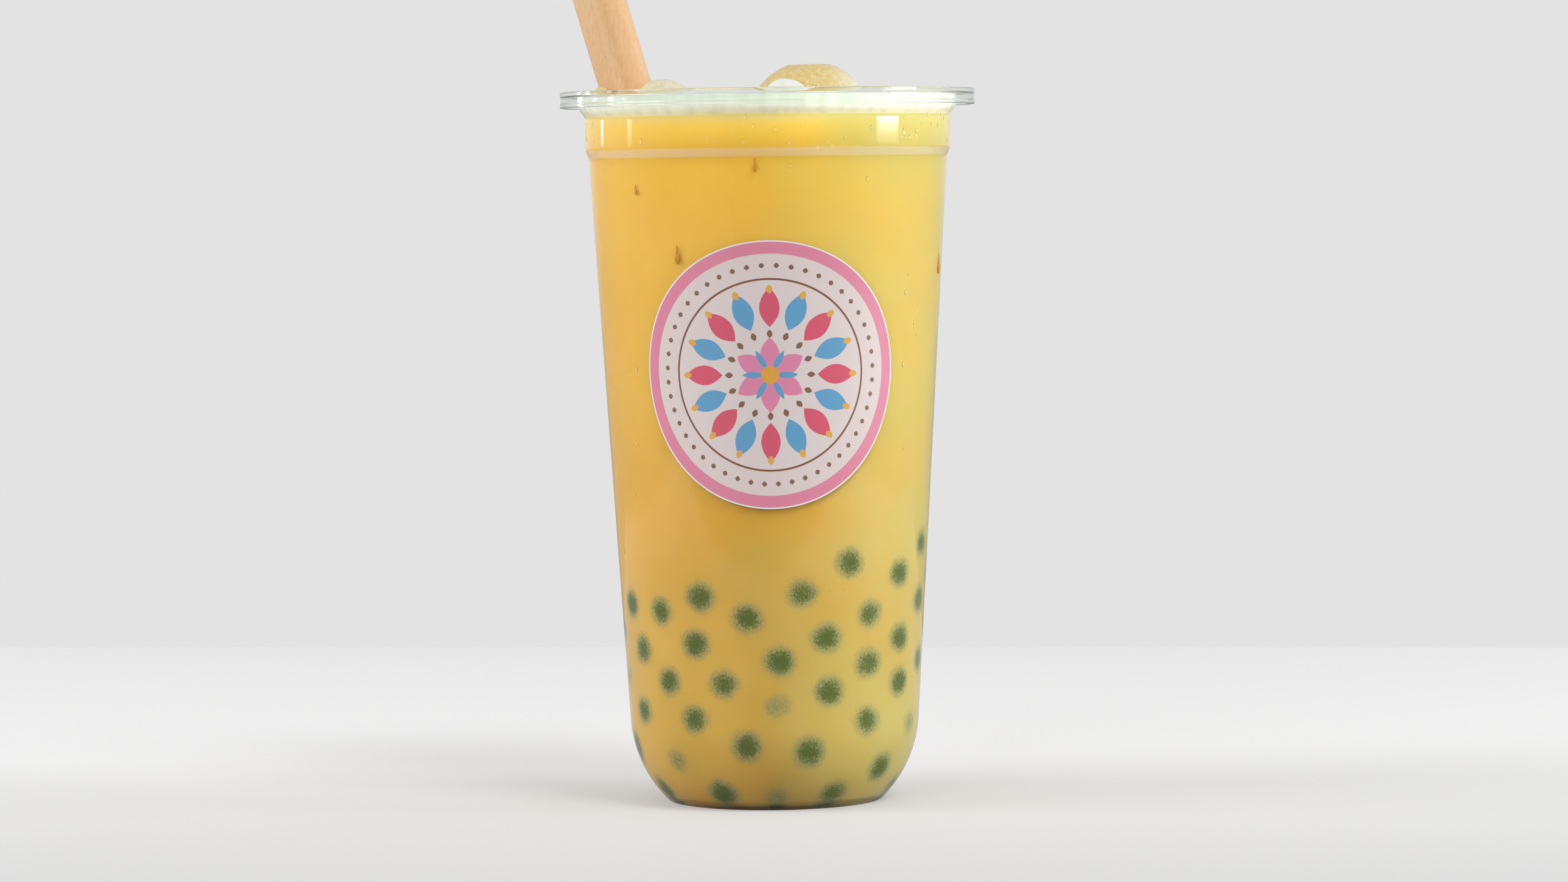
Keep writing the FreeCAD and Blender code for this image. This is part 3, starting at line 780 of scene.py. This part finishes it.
def printed_paper():
    """Coated sticker paper with offset print: satin, with the print's edges crisp."""
    material, tree = new_material("coated_sticker_paper_print")
    place = add_node(tree, "Attribute", {}, attribute_name="print_place").outputs["Vector"]
    axes = add_node(tree, "SeparateXYZ", {0: place})
    reach = add_node(tree, "VectorMath", {0: place}, operation="LENGTH").outputs["Value"]
    turn = add_node(
        tree, "Math", {0: axes.outputs["Y"], 1: axes.outputs["X"]}, operation="ARCTAN2"
    ).outputs[0]
    edge = 0.08

    def inside(value, limit):
        """1 where value is under limit, in mm, with the edge as soft as print is."""
        soft = {0: value, 1: limit - edge, 2: limit + edge, 3: 1.0, 4: 0.0}
        return add_node(tree, "MapRange", soft).outputs[0]

    def petal(count, offset, base, tip, width):
        """1 inside count petals that run from radius base to tip and are width wide at the middle."""
        share = add_node(tree, "Math", {0: turn, 1: offset}, operation="ADD").outputs[0]
        share = add_node(tree, "Math", {0: share, 1: count / math.tau}, operation="MULTIPLY").outputs[0]
        share = add_node(tree, "Math", {0: share}, operation="FRACT").outputs[0]
        share = add_node(tree, "Math", {0: share, 1: 0.5}, operation="SUBTRACT").outputs[0]
        share = add_node(tree, "Math", {0: share}, operation="ABSOLUTE").outputs[0]
        aside = add_node(tree, "Math", {0: share, 1: reach}, operation="MULTIPLY").outputs[0]
        aside = add_node(tree, "Math", {0: aside, 1: math.tau / count}, operation="MULTIPLY").outputs[0]
        along = add_node(tree, "MapRange", {0: reach, 1: base, 2: tip, 3: -1.0, 4: 1.0}).outputs[0]
        along = add_node(tree, "Math", {0: along, 1: along}, operation="MULTIPLY").outputs[0]
        along = add_node(tree, "Math", {0: 1.0, 1: along}, operation="SUBTRACT").outputs[0]
        bulge = add_node(tree, "Math", {0: along, 1: width / 2}, operation="MULTIPLY").outputs[0]
        over = add_node(tree, "Math", {0: aside, 1: bulge}, operation="SUBTRACT").outputs[0]
        return inside(over, -edge)

    layers = (
        (inside(reach, 29.65), "#d8829b"),
        (inside(reach, 27.0), "#d8cac7"),
        (petal(48, 0.0, 23.75, 25.05, 1.3), "#84604a"),
        (inside(reach, 21.6), "#7d5236"),
        (inside(reach, 21.15), "#d8ccca"),
        (petal(8, 0.0, 10.6, 19.6, 4.6), "#5f9cc4"),
        (petal(8, math.pi / 8, 10.6, 19.6, 4.6), "#d2566d"),
        (petal(16, math.pi / 16, 18.0, 20.2, 1.6), "#dba64a"),
        (petal(16, math.pi / 16, 8.2, 10.2, 1.4), "#84604a"),
        (petal(6, 0.0, 1.2, 8.4, 4.6), "#d983a4"),
        (petal(6, math.pi / 6, 1.2, 6.4, 1.6), "#5f9cc4"),
        (inside(reach, 2.0), "#dba040"),
    )
    shade = colour("#e2dede")
    for mask, code in layers:
        shade = add_node(tree, "Mix", {0: mask, 6: shade, 7: colour(code)}, data_type="RGBA").outputs[2]
    pulp = add_node(tree, "TexNoise", {"Vector": place, "Scale": 2.5, "Detail": 3.0}).outputs["Fac"]
    bump = add_node(tree, "Bump", {"Height": pulp, "Strength": 0.15, "Distance": 0.03 * mm}).outputs[0]
    paper = add_node(
        tree, "BsdfPrincipled", {"Base Color": shade, "Roughness": 0.4, "IOR": 1.5, "Normal": bump}
    ).outputs[0]
    add_node(tree, "OutputMaterial", {"Surface": paper})
    return material


label.data.materials.append(printed_paper())
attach(label, "root")
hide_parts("label")

# ---------------------------------------------------------------------------------------------------------
# Dew: water that has condensed on the cold wall, as small flat beads, thickest on the neck band, where one
# larger drop hangs at the right.
# ---------------------------------------------------------------------------------------------------------


def outside_radius(height):
    """The outside of the band, step and taper at a height."""
    heights = (taper_low, taper_top, band_low, band_top)
    return np.interp(height, heights, (bowl_top_radius, taper_radius, band_radius, band_radius))


dew_beads = 170
band_beads = 80
label_gap = 2 * mm
bead_places, bead_sizes, bead_turns = [], [], []


def add_bead(turn, height, size, run):
    """A flat bead of water on the wall: its half width, and how many times taller than wide it has run."""
    out = outside_radius(height)
    bead_places.append((out * math.cos(turn), out * math.sin(turn), height))
    bead_sizes.append((0.4 * size, size, size * run))
    bead_turns.append(Matrix.Rotation(turn, 4, "Z").to_quaternion())


for number in range(dew_beads):
    turn = random.uniform(0, math.tau)
    on_band = number < band_beads
    height = random.uniform(band_low, band_top) if on_band else random.uniform(45 * mm, taper_top)
    from_label = abs(math.remainder(turn + math.pi / 2, math.tau)) * outside_radius(height)
    if max(from_label, abs(height - label_middle)) > label_radius + label_gap:
        add_bead(turn, height, random.uniform(0.2, 0.5) * mm, random.uniform(1, 1.5))
add_bead(math.radians(-43), 152.6 * mm, 0.7 * mm, 1.3)
dew = joined_copies("dew_beads", round_pattern(), bead_places, bead_sizes, bead_turns)


def water():
    """Clean water. Lamps shine through it."""
    material, tree = new_material("condensed_water")
    drop = add_node(
        tree,
        "BsdfPrincipled",
        {"Base Color": colour("#ffffff"), "Roughness": 0.02, "IOR": 1.33, "Transmission Weight": 1.0},
    ).outputs[0]
    lamp = add_node(tree, "LightPath", {}).outputs["Is Shadow Ray"]
    clear = add_node(tree, "BsdfTransparent", {}).outputs[0]
    surface = add_node(tree, "MixShader", {0: lamp, 1: drop, 2: clear}).outputs[0]
    add_node(tree, "OutputMaterial", {"Surface": surface})
    return material


dew.data.materials.append(water())
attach(dew, "root")

# ---------------------------------------------------------------------------------------------------------
# Dark drops: a few amber beads on the outside, each a flat bead with a thin tail above it. They are darker
# than
# the milky drink behind them: painted shade, in place of the dark that clear dew drops show there by
# refraction.
# ---------------------------------------------------------------------------------------------------------
bead_places, bead_sizes, bead_turns = [], [], []
for bearing, height, size in (
    (-47, 140, 0.4),
    (-31, 125, 0.7),
    (-4, 145, 0.5),
    (78, 122, 0.8),
    (150, 118, 0.7),
    (205, 132, 0.6),
):
    turn = math.radians(bearing - 90)
    add_bead(turn, height * mm, size * mm, 2.0)
    add_bead(turn, (height + 2.2 * size) * mm, 0.45 * size * mm, 5.0)
dark_drops = joined_copies("dark_drops_painted_shade", round_pattern(), bead_places, bead_sizes, bead_turns)


def dark_drop_paint():
    """Glossy, wet dark amber: painted shade, in place of the dark that clear dew drops show against the
    drink.
    """
    material, tree = new_material("amber_drops_painted_shade")
    drop_shade = add_node(
        tree, "BsdfPrincipled", {"Base Color": colour("#c88a2a"), "Roughness": 0.08, "IOR": 1.36}
    ).outputs[0]
    add_node(tree, "OutputMaterial", {"Surface": drop_shade})
    return material


dark_drops.data.materials.append(dark_drop_paint())
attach(dark_drops, "root")

# ---------------------------------------------------------------------------------------------------------
# Studio: a pale table, about 1 m wide and 0.7 m deep, in front of a plain pale backdrop. The room in front of
# it is darker. A soft key stands at the upper right, with weaker lamps in front at the left, at the left side
# and behind at the right, and a softbox and two strips give the gloss on the wall.
# ---------------------------------------------------------------------------------------------------------
table_width = 1.06
table_depth = 0.705
table_back = 0.395
table_turn = math.radians(-7.9)
bpy.ops.object.select_all(action="DESELECT")
bpy.ops.mesh.primitive_plane_add(size=1)
table = bpy.context.active_object
table.name = "table"
table.data.transform(Matrix.Diagonal((table_width, table_depth, 1, 1)))
table.data.transform(Matrix.Translation((0, table_back - table_depth / 2, 0)))
table.data.transform(Matrix.Rotation(table_turn, 4, "Z"))


def table_paint():
    """Matt white paint, with painted shade that makes it greyer towards the front. The camera sees a part of
    it as an even pale tone, so that it stays plain, and it is dimmer in reflections."""
    material, tree = new_material("matt_pale_table")
    path = add_node(tree, "LightPath", {})
    # Painted shade: greyer towards the front.
    back = add_node(tree, "SeparateXYZ", {0: add_node(tree, "TexCoord", {}).outputs["Object"]}).outputs["Y"]
    back = add_node(tree, "MapRange", {0: back, 1: -0.2, 2: 0.1}).outputs[0]
    tone = add_node(
        tree, "Mix", {0: back, 6: colour("#c8c8c8"), 7: colour("#f0f0f0")}, data_type="RGBA"
    ).outputs[2]
    glossy = path.outputs["Is Glossy Ray"]
    tone = add_node(tree, "Mix", {0: glossy, 6: tone, 7: colour("#c8c8c8")}, data_type="RGBA").outputs[2]
    paint = add_node(
        tree, "BsdfPrincipled", {"Base Color": tone, "Roughness": 0.7, "Specular IOR Level": 0.1}
    ).outputs[0]
    even = add_node(tree, "Emission", {"Color": colour("#ebebeb"), "Strength": 1.0}).outputs[0]
    eye = add_node(tree, "Math", {0: path.outputs["Is Camera Ray"], 1: 0.25}, operation="MULTIPLY").outputs[0]
    surface = add_node(tree, "MixShader", {0: eye, 1: paint, 2: even}).outputs[0]
    add_node(tree, "OutputMaterial", {"Surface": surface})
    return material


table.data.materials.append(table_paint())

world = bpy.data.worlds.new("studio")
bpy.context.scene.world = world
world.use_nodes = True
tree = world.node_tree
tree.nodes.clear()
path = add_node(tree, "LightPath", {})
seen = add_node(
    tree,
    "Math",
    {0: path.outputs["Is Camera Ray"], 1: path.outputs["Is Transmission Ray"]},
    operation="MAXIMUM",
).outputs[0]
direction = add_node(tree, "SeparateXYZ", {0: add_node(tree, "TexCoord", {}).outputs["Generated"]})
gloss = add_node(tree, "MapRange", {0: direction.outputs["Y"], 1: -0.5, 2: 0.1, 3: 0.18, 4: 0.768}).outputs[0]
upper = add_node(tree, "MapRange", {0: direction.outputs["Z"], 1: -0.05, 2: 0.0, 3: 0.45, 4: 1.0}).outputs[0]
gloss = add_node(tree, "Math", {0: gloss, 1: upper}, operation="MULTIPLY").outputs[0]
backdrop = add_node(tree, "Background", {"Color": colour("#e3e3e3"), "Strength": 1.0}).outputs[0]
reflected = add_node(tree, "Background", {"Color": (1, 1, 1, 1), "Strength": gloss}).outputs[0]
room = add_node(tree, "Background", {"Color": (1, 1, 1, 1), "Strength": 0.4}).outputs[0]
sky = add_node(tree, "MixShader", {0: path.outputs["Is Glossy Ray"], 1: room, 2: reflected}).outputs[0]
sky = add_node(tree, "MixShader", {0: seen, 1: sky, 2: backdrop}).outputs[0]
add_node(tree, "OutputWorld", {"Surface": sky})


def add_lamp(name, bearing, distance, height, width, tall, watts, aim=0.09):
    """A rectangular lamp aimed at a height on the cup's axis. Its bearing is degrees to the right of the way
    the label faces."""
    turn = math.radians(bearing)
    place = Vector((distance * math.sin(turn), -distance * math.cos(turn), height))
    light = bpy.data.lights.new(name, "AREA")
    light.shape = "RECTANGLE"
    light.size = width
    light.size_y = tall
    light.energy = watts
    lamp = bpy.data.objects.new(name, light)
    lamp.location = place
    lamp.rotation_euler = (Vector((0, 0, aim)) - place).to_track_quat("-Z", "Y").to_euler()
    bpy.context.scene.collection.objects.link(lamp)


add_lamp("key", 38, 1.25, 1.75, 0.7, 0.7, 14)
add_lamp("fill", -30, 1.6, 0.6, 1.0, 0.8, 5)
add_lamp("side", -78, 1.3, 0.8, 0.9, 0.9, 10)
add_lamp("right_back", 112, 1.3, 0.95, 1.1, 1.2, 2.5)
add_lamp("softbox", 80, 1.0, 0.243, 0.30, 0.15, 5, 0.243)
add_lamp("strip_left", -95, 1.0, 0.30, 0.07, 0.28, 0.25, 0.30)
add_lamp("strip_left_back", -126, 1.0, 0.30, 0.05, 0.28, 0.35, 0.30)

# The camera stands where the label faces, a little lower than the rim, and looks slightly down.
view_distance = 1.217
view_height = 0.141
view_right = 2.9 * mm
view_down = math.radians(2.76)
view_roll = math.radians(-0.7)
eye = bpy.data.cameras.new("camera")
eye.lens = 121.8
eye.sensor_width = 36
eye.clip_start = 0.05
camera = bpy.data.objects.new("camera", eye)
camera.location = (view_right, -view_distance, view_height)
turned = Matrix.Rotation(math.pi / 2 - view_down, 4, "X") @ Matrix.Rotation(view_roll, 4, "Z")
camera.rotation_euler = turned.to_euler()
bpy.context.scene.collection.objects.link(camera)
bpy.context.scene.camera = camera
bpy.context.scene.view_settings.view_transform = "Standard"
